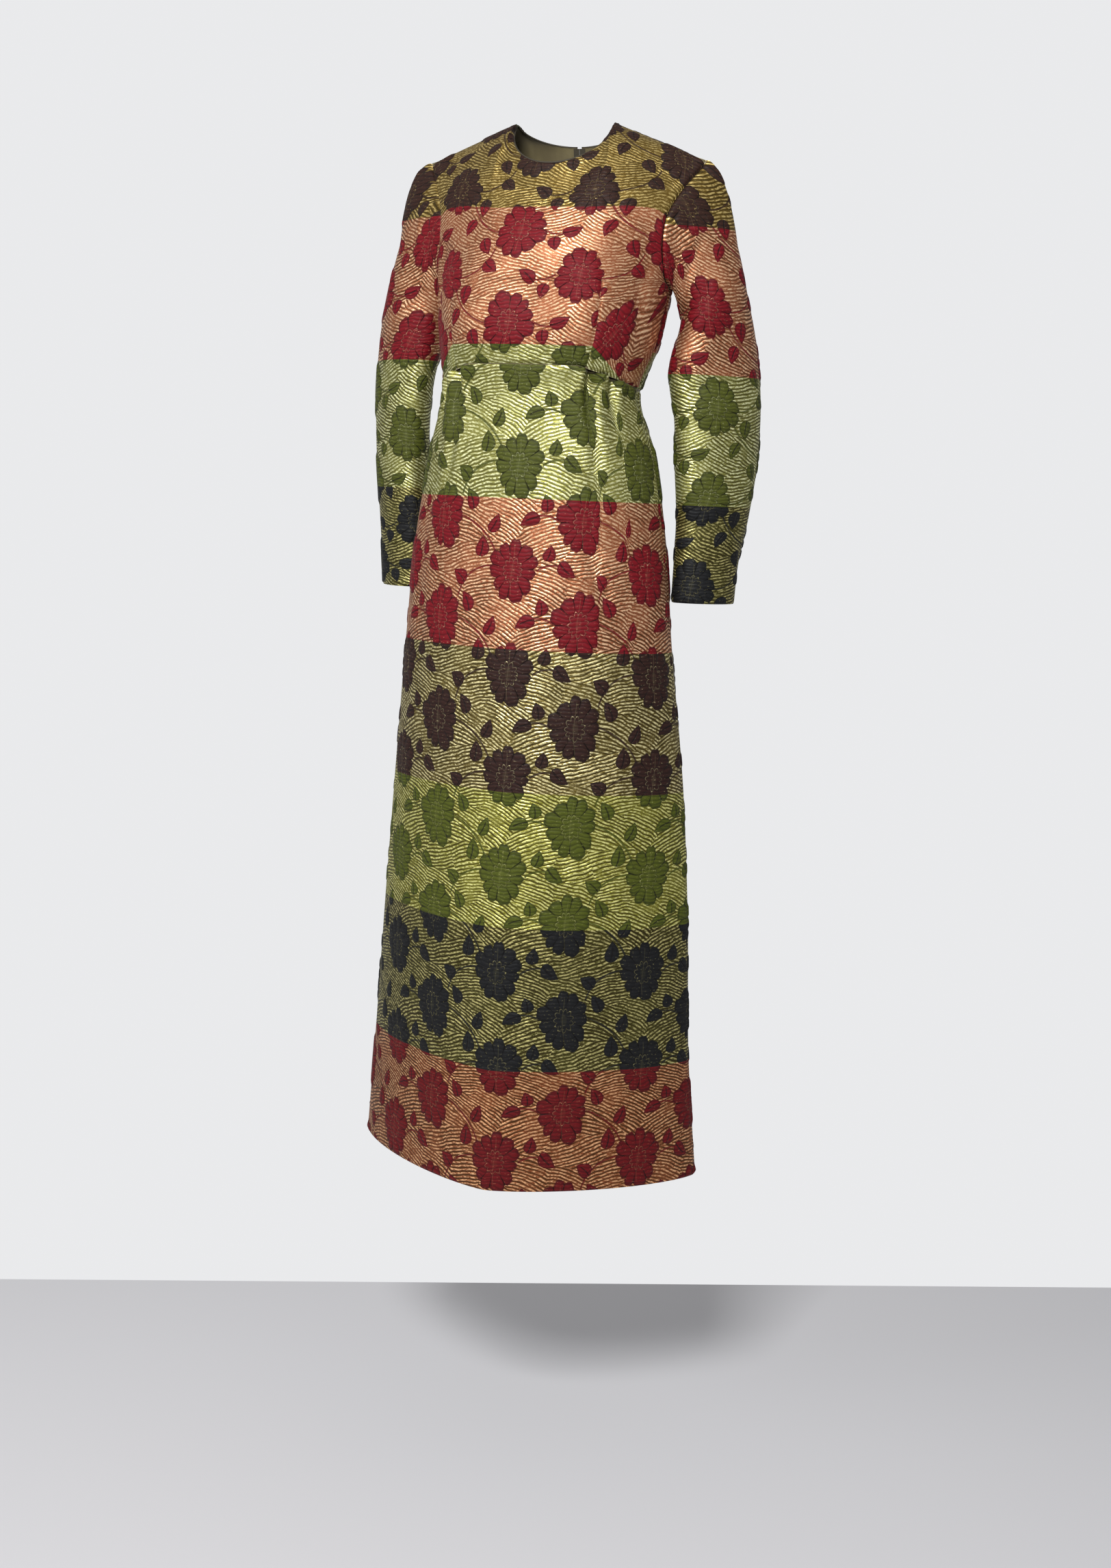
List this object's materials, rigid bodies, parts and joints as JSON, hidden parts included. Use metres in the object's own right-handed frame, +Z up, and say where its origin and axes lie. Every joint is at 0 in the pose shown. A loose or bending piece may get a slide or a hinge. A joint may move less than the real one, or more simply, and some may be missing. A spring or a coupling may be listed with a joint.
{
  "type": "maxi dress",
  "caption": "Long-sleeved maxi dress in puffed metallic flower brocade with colour bands, an empire seam and a flared skirt, hollow as worn.",
  "frame": {"origin": "Halfway between the two points where the shoulder seams meet the neck edge, where the dress hangs from its wearer's shoulders.", "axes": "+Z up, the front faces -Y, the wearer's left side is +X."},
  "size_m": [0.5622, 0.306, 1.433],
  "materials": {
    "brocade": "puffed metallic brocade",
    "zip_metal": "satin"
  },
  "bodies": {
    "dress": {"bodice_front": "brocade", "bodice_back_left": "brocade", "bodice_back_right": "brocade", "skirt_front": "brocade", "skirt_back_left": "brocade", "skirt_back_right": "brocade", "sleeve_left": "brocade", "sleeve_right": "brocade", "zip_chain": "zip_metal", "zip_slider": "zip_metal"},
    "pull": {"zip_pull": "zip_metal"}
  },
  "joints": [
    {"name": "pull_swing", "type": "hinge", "parent": "dress", "child": "pull", "pos_m": [-0.00008, 0.06453, -0.03488], "axis": [1, 0, 0], "range_deg": [0, 150]}
  ]
}
